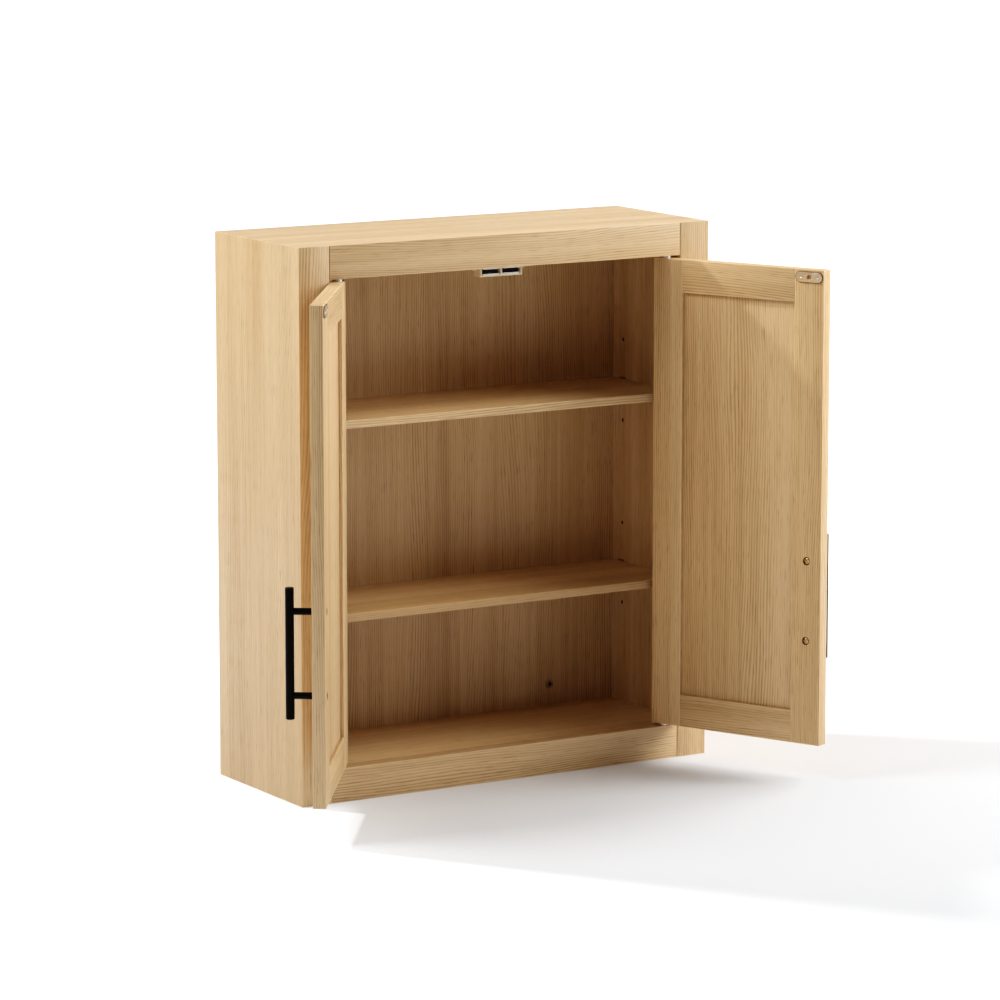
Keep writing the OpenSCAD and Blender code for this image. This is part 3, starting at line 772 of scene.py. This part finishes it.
class CABINET_OT_face_frame(bpy.types.Operator):
    """Stiles and rails around the door opening"""

    bl_idname = "cabinet.face_frame"
    bl_label = "Face Frame"

    def execute(self, context):
        joint_x = closed_box("top_rail")[1].x
        jointed_board("left_stile", UPRIGHT, 17, joint_x)
        jointed_board("right_stile", UPRIGHT, 19, joint_x)
        jointed_board("top_rail", LEVEL, 23, joint_x)
        jointed_board("bottom_rail", LEVEL, 29, joint_x)
        return {"FINISHED"}


class CABINET_OT_shelves(bpy.types.Operator):
    """Shelves with their edging and supports"""

    bl_idname = "cabinet.shelves"
    bl_label = "Shelves"

    def execute(self, context):
        sizes = context.scene.cabinet_sizes
        # The shelves are painted warmer as in shade, and the lower shelf's edging darker as in
        # shade
        for seed, name, edge_painted_shade in ((31, "upper", EVEN), (37, "lower", SHADE_DEEPER)):
            board(f"{name}_shelf", LYING, seed, tone=SHADE_WARMER)
            strip = copy_of_node(f"{name}_shelf_edging", f"{name}_shelf_edging_strip")
            ease(strip, 0.5 * sizes.board_ease, long_edges(20.0 * MM))
            edging = oak_material(f"{name}_shelf_edging", LEVEL, seed + 2, tone=edge_painted_shade)
            finish_piece(strip, f"{name}_shelf_edging", edging)
            clips = copy_of_node(f"{name}_shelf_supports", f"{name}_shelf_clips")
            ease(clips, 0.5 * sizes.hardware_ease, long_edges(8.0 * MM))
            finish_piece(clips, f"{name}_shelf_supports", finish("bronze"))
        return {"FINISHED"}


class CABINET_OT_doors(bpy.types.Operator):
    """Frames and panels of both doors"""

    bl_idname = "cabinet.doors"
    bl_label = "Doors"

    def execute(self, context):
        width = context.scene.cabinet_sizes.door_ease
        # The right door is painted lighter, as if better lit
        for side, seed, tone in (("left", 41, EVEN), ("right", 67, LIT_LIGHTER)):
            board(f"{side}_door_hinge_stile", UPRIGHT, seed, width, tone=tone)
            board(f"{side}_door_lock_stile", UPRIGHT, seed + 2, width, tone=tone)
            board(f"{side}_door_top_rail", LEVEL, seed + 4, width, tone=tone)
            board(f"{side}_door_bottom_rail", LEVEL, seed + 6, width, tone=tone)
            cut = {"heart": -0.035, "depth": 0.026, "rings": PANEL_RINGS, "tone": tone}
            board(f"{side}_door_panel", UPRIGHT, seed + 8, **cut)
        return {"FINISHED"}


class CABINET_OT_wall_fixing(bpy.types.Operator):
    """Hanging rails and the bushings of the wall-screw holes"""

    bl_idname = "cabinet.wall_fixing"
    bl_label = "Wall Fixing"

    def execute(self, context):
        sizes = context.scene.cabinet_sizes
        for node in ("upper_hanging_rail", "lower_hanging_rail"):
            piece = copy_of_node(node, f"{node}_board")
            ease(piece, sizes.board_ease, long_edges())
            finish_piece(piece, node, finish("chipboard"))
        rings = copy_of_node("wall_hole_bushings", "wall_hole_rings")
        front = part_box("wall_hole_bushings")[0][1]

        def on_front_rim(middle, direction, length):
            return middle.y < front + NEARBY and length < 2.0 * MM

        ease(rings, sizes.hardware_ease, on_front_rim)
        finish_piece(rings, "wall_hole_bushings", finish("bronze"))
        return {"FINISHED"}


class CABINET_OT_pivots(bpy.types.Operator):
    """Pivot pins in the rails and bushes in the doors"""

    bl_idname = "cabinet.pivots"
    bl_label = "Pivots"

    def execute(self, context):
        for side in SIDES:
            for end in ("upper", "lower"):
                dress_node(f"{side}_{end}_pivot_pin", finish("bright_steel"))
                dress_node(f"{side}_door_{end}_bush", finish("bright_steel"))
        return {"FINISHED"}


def pan_screw(name, head_d, length):
    """A pan-head screw with a cross recess, along Z, with the top of its head at the origin."""
    head_h = 0.32 * head_d
    shank_d = 0.5 * head_d
    slot_size = (0.62 * head_d, 0.15 * head_d, 1.1 * head_h)
    deselect_everything()
    middle_of_head = (0.0, 0.0, -head_h / 2)
    bpy.ops.mesh.primitive_cylinder_add(
        vertices=40, radius=head_d / 2, depth=head_h, location=middle_of_head
    )
    screw = bpy.context.object
    screw.name = name
    bpy.ops.object.transform_apply(location=True, rotation=True, scale=True)
    bpy.ops.object.mode_set(mode="EDIT")
    select_edges(screw, lambda middle, direction, length: middle.z > -0.01 * MM)
    bpy.ops.mesh.bevel(offset=0.62 * head_h, offset_type="OFFSET", segments=6, profile=0.5)
    select_faces(screw, lambda face: face.normal.z < -STRAIGHT)
    bpy.ops.mesh.inset(thickness=(head_d - shank_d) / 2)
    bpy.ops.mesh.extrude_region_move(TRANSFORM_OT_translate={"value": (0.0, 0.0, head_h - length)})
    bpy.ops.object.mode_set(mode="OBJECT")
    for turn in (0.25 * math.pi, 0.75 * math.pi):
        bpy.ops.mesh.primitive_cube_add(
            size=1.0, location=(0.0, 0.0, 0.0), rotation=(0.0, 0.0, turn)
        )
        slot = bpy.context.object
        slot.scale = slot_size
        take(screw)
        cut = screw.modifiers.new("slot", "BOOLEAN")
        cut.operation = "DIFFERENCE"
        cut.solver = "EXACT"
        cut.object = slot
        bpy.ops.object.modifier_apply(modifier=cut.name)
        bpy.data.objects.remove(slot, do_unlink=True)
    return screw


def pull_screws(side):
    """The two screws of one pull, seen in the counterbores on the inner face of the door."""
    node = f"{side}_pull_screws"
    low, high = closed_box(node)
    head_d = high.x - low.x
    first = pan_screw(f"{side}_pull_pan_screws", head_d, high.y - low.y)
    second = bpy.data.objects.new(f"{side}_second_screw", first.data.copy())
    bpy.context.scene.collection.objects.link(second)
    stand = Matrix.Rotation(-math.pi / 2, 4, "X")
    for screw, z in ((first, low.z + head_d / 2), (second, high.z - head_d / 2)):
        place = Matrix.Translation(Vector(((low.x + high.x) / 2, high.y, z)))
        screw.matrix_world = TURNS[BODY_OF[node]] @ place @ stand
    take(first)
    second.select_set(True)
    bpy.ops.object.join()
    bpy.ops.object.transform_apply(location=True, rotation=True, scale=True)
    finish_piece(first, node, finish("yellow_zinc"), smooth=30)


class CABINET_OT_pulls(bpy.types.Operator):
    """Bar pulls with their posts and screws"""

    bl_idname = "cabinet.pulls"
    bl_label = "Pulls"

    def execute(self, context):
        for side in SIDES:
            for part in ("bar", "posts"):
                piece = copy_of_node(f"{side}_pull_{part}", f"{side}_pull_round_{part}")
                finish_piece(piece, f"{side}_pull_{part}", finish("black_pull"))
            pull_screws(side)
        return {"FINISHED"}


def strike_plate(node, name):
    """A strike plate with its outline rolled over, which sets it off from the door."""
    back = TURNS[BODY_OF[node]].inverted()
    low, high = closed_box(node)
    middle_of_plate, half = (low + high) / 2, (high - low) / 2
    plate = copy_of_node(node, name)

    def on_outline(middle, direction, length):
        away = back @ middle - middle_of_plate
        outside = abs(away.z) > half.z - 4 * NEARBY or abs(away.x) > half.x - half.z
        return outside and away.y > half.y - 0.5 * NEARBY

    ease(plate, 0.9 * half.y, on_outline, segments=3)
    finish_piece(plate, node, strike_material(node))


class CABINET_OT_catch(bpy.types.Operator):
    """Magnetic catch under the top rail and the strike plates on the doors"""

    bl_idname = "cabinet.catch"
    bl_label = "Catch"

    def execute(self, context):
        sizes = context.scene.cabinet_sizes
        housing = copy_of_node("catch_housing", "catch_moulded_housing")
        ease(housing, sizes.hardware_ease, long_edges(2.2 * MM))
        finish_piece(housing, "catch_housing", finish("cream_plastic"))
        dress_node("catch_magnets", finish("ferrite"))
        dress_node("catch_pole_plates", finish("bright_steel"))
        dress_node("catch_screws", finish("nickel"))
        dress_node("catch_block", finish("chipboard"))
        for side in SIDES:
            strike_plate(f"{side}_strike_plate", f"{side}_strike_pressed_plate")
            screw = copy_of_node(f"{side}_strike_screw", f"{side}_strike_sunk_screw")
            finish_piece(screw, f"{side}_strike_screw", finish("bronze"))
        return {"FINISHED"}


class CABINET_OT_joinery(bpy.types.Operator):
    """Dowels and cam fittings inside the joints"""

    bl_idname = "cabinet.joinery"
    bl_label = "Hidden Joinery"

    def execute(self, context):
        dress_node("face_frame_dowels", finish("chipboard"))
        dress_node("carcass_dowels", finish("chipboard"))
        dress_node("cam_bolts", finish("bright_steel"))
        dress_node("cam_locks", finish("cast_zinc"))
        return {"FINISHED"}


# ---------------------------------------------------------------- stage


def aim(piece, towards):
    """Turns a lamp or camera so that it looks along a direction, level with the horizon."""
    piece.rotation_euler = Vector(towards).to_track_quat("-Z", "Y").to_euler()


def studio_lamp(name, place, width, power):
    """A round soft lamp that faces the middle of the cabinet."""
    lamp = bpy.data.objects.new(name, bpy.data.lights.new(name, "AREA"))
    lamp.data.shape = "DISK"
    lamp.data.size = width
    lamp.data.energy = power
    lamp.location = place
    aim(lamp, LIT_POINT - lamp.location)
    bpy.context.scene.collection.objects.link(lamp)


def around(azimuth, elevation, distance):
    """A place around the cabinet; azimuth 0 is straight in front of it and 90 is on its right."""
    turn, rise = math.radians(azimuth), math.radians(elevation)
    flat = math.cos(rise)
    return Vector((math.sin(turn) * flat, -math.cos(turn) * flat, math.sin(rise))) * distance


# The key lamp makes the long shadow
KEY_PLACE = (-2.10, 2.30, 2.72)
KEY_WIDTH = 0.30
KEY_SHARE = 2.4
# Azimuth, elevation and share of the light for each soft lamp
SOFT_LAMPS = (
    ("left_high", -100, 50, 0.92),
    ("right_side", 95, 30, 0.81),
    ("right_front_high", 50, 45, 0.55),
    ("right_front_far", 65, 20, 0.53),
    ("right_front_near", 50, 20, 0.50),
    ("right_high", 72, 45, 0.28),
    ("left_front", -45, 40, 0.10),
)
SOFT_DISTANCE = 3.0
SOFT_WIDTH = 1.4
LIT_POINT = Vector((0.0, -0.1, 0.0))
SKY_SEEN, SKY_LIGHT = 1.2, 0.045
# Painted light on the floor: seen by the camera it glows towards white between two distances from a
# point under the open right door, which washes out the soft lamps' shadows and leaves the key
# shadow
GLOW_MIDDLE = (0.58, -0.50, 0.0)
GLOW_START, GLOW_END = 0.72, 1.45
GLOW = 1.2
FLOOR_SIZE = 60.0
FLOOR_DROP = 0.2 * MM
CAMERA_PLACE = (-2.8396, -4.8566, 0.9161)
CAMERA_AZIMUTH, CAMERA_ELEVATION = -31.283, 9.527
CAMERA_LENS, CAMERA_SENSOR = 168.98, 36.0
# Scene light against picture light: a firm toe and a soft shoulder, as on film
FILM_CURVE = (
    (0, 0.0),
    (0.01, 0.008),
    (0.03, 0.0312),
    (0.06, 0.0718),
    (0.1, 0.1295),
    (0.16, 0.2156),
    (0.25, 0.3356),
    (0.36, 0.465),
    (0.5, 0.6066),
    (0.65, 0.7381),
    (0.82, 0.8709),
    (1.0, 1.0),
)


def floor_material():
    """A pale floor with painted light: to the camera it glows into white away from the cabinet,
    outside the key shadow.
    """
    colours = bpy.context.scene.cabinet_colours
    material, n, shader = start_material("plain_floor")
    place = object_place(n)
    tone = n.noise(place, 0.8, 2.0, 0.5)
    pale = opaque(colours.floor)
    n.feed(shader, "Base Color", n.mix(tone, pale, opaque([0.99 * c for c in pale[:3]])))
    shader.inputs["Roughness"].default_value = 0.9
    shader.inputs["Specular IOR Level"].default_value = 0.0
    away = n.new("ShaderNodeVectorMath", {"operation": "DISTANCE"})
    n.feed(away, 0, place)
    n.feed(away, 1, GLOW_MIDDLE)
    # Painted light: emission that only the camera sees
    glow = n.remap(away.outputs["Value"], GLOW_START, GLOW_END, 0.0, GLOW, smooth=True)
    seen = n.new("ShaderNodeLightPath").outputs["Is Camera Ray"]
    shader.inputs["Emission Color"].default_value = (1.0, 1.0, 1.0, 1.0)
    n.feed(shader, "Emission Strength", n.math("MULTIPLY", glow, seen))
    return material


def lay_floor():
    """The plain floor just under the cabinet."""
    deselect_everything()
    foot = CAD_BOX[0][2] - FLOOR_DROP
    bpy.ops.mesh.primitive_plane_add(size=FLOOR_SIZE, location=(0.0, 0.0, foot))
    floor = bpy.context.object
    floor.name = "floor"
    floor.data.materials.append(floor_material())


def light_studio(scene):
    """The key lamp, the soft lamps and an even pale surround."""
    light = scene.cabinet_sizes.light
    studio_lamp("key", KEY_PLACE, KEY_WIDTH, KEY_SHARE * light)
    for name, azimuth, elevation, share in SOFT_LAMPS:
        studio_lamp(name, around(azimuth, elevation, SOFT_DISTANCE), SOFT_WIDTH, share * light)
    scene.world = bpy.data.worlds.new("studio")
    scene.world.use_nodes = True
    tree = scene.world.node_tree
    sky = tree.nodes["Background"]
    sky.inputs["Color"].default_value = (1.0, 1.0, 1.0, 1.0)
    n = Nodes(tree)
    seen = n.new("ShaderNodeLightPath").outputs["Is Camera Ray"]
    n.feed(sky, "Strength", n.remap(seen, 0.0, 1.0, SKY_LIGHT, SKY_SEEN))


def set_film(view):
    """Lays the film curve over the scene's light."""
    view.view_transform = "Standard"
    view.use_curve_mapping = True
    combined = view.curve_mapping.curves[3]
    for x, y in FILM_CURVE[1:-1]:
        combined.points.new(x, y)
    view.curve_mapping.update()


def place_camera(scene):
    camera = bpy.data.objects.new("camera", bpy.data.cameras.new("camera"))
    camera.data.lens = CAMERA_LENS
    camera.data.sensor_width = CAMERA_SENSOR
    camera.data.clip_end = 200.0
    camera.location = CAMERA_PLACE
    aim(camera, -around(CAMERA_AZIMUTH, CAMERA_ELEVATION, 1.0))
    scene.collection.objects.link(camera)
    scene.camera = camera


class CABINET_OT_stage(bpy.types.Operator):
    """Floor, soft light and camera"""

    bl_idname = "cabinet.stage"
    bl_label = "Stage"

    def execute(self, context):
        lay_floor()
        light_studio(context.scene)
        set_film(context.scene.view_settings)
        place_camera(context.scene)
        return {"FINISHED"}


# ---------------------------------------------------------------- panel and registration


OPERATORS = (
    CABINET_OT_stage,
    CABINET_OT_carcass,
    CABINET_OT_face_frame,
    CABINET_OT_shelves,
    CABINET_OT_doors,
    CABINET_OT_wall_fixing,
    CABINET_OT_pivots,
    CABINET_OT_pulls,
    CABINET_OT_catch,
    CABINET_OT_joinery,
)


class CABINET_PT_panel(bpy.types.Panel):
    """Lists the sizes, the colours and the steps of the cabinet"""

    bl_idname = "CABINET_PT_panel"
    bl_label = "Wall Cabinet"
    bl_space_type = "VIEW_3D"
    bl_region_type = "UI"
    bl_category = "Cabinet"

    def draw(self, context):
        for group_of_values in (context.scene.cabinet_sizes, context.scene.cabinet_colours):
            column = self.layout.column(align=True)
            for key in group_of_values.__annotations__:
                column.prop(group_of_values, key)
        steps = self.layout.column(align=True)
        for operator in OPERATORS:
            steps.operator(operator.bl_idname)


CLASSES = (CabinetSizes, CabinetColours, *OPERATORS, CABINET_PT_panel)


def register():
    for cls in CLASSES:
        bpy.utils.register_class(cls)
    bpy.types.Scene.cabinet_sizes = bpy.props.PointerProperty(type=CabinetSizes)
    bpy.types.Scene.cabinet_colours = bpy.props.PointerProperty(type=CabinetColours)


def unregister():
    del bpy.types.Scene.cabinet_colours
    del bpy.types.Scene.cabinet_sizes
    for cls in reversed(CLASSES):
        bpy.utils.unregister_class(cls)


def main():
    register()
    for operator in OPERATORS:
        step = operator.bl_idname.split(".")[1]
        if getattr(bpy.ops.cabinet, step)() != {"FINISHED"}:
            raise RuntimeError(f"{operator.bl_label} did not finish")


if __name__ == "__main__":
    main()
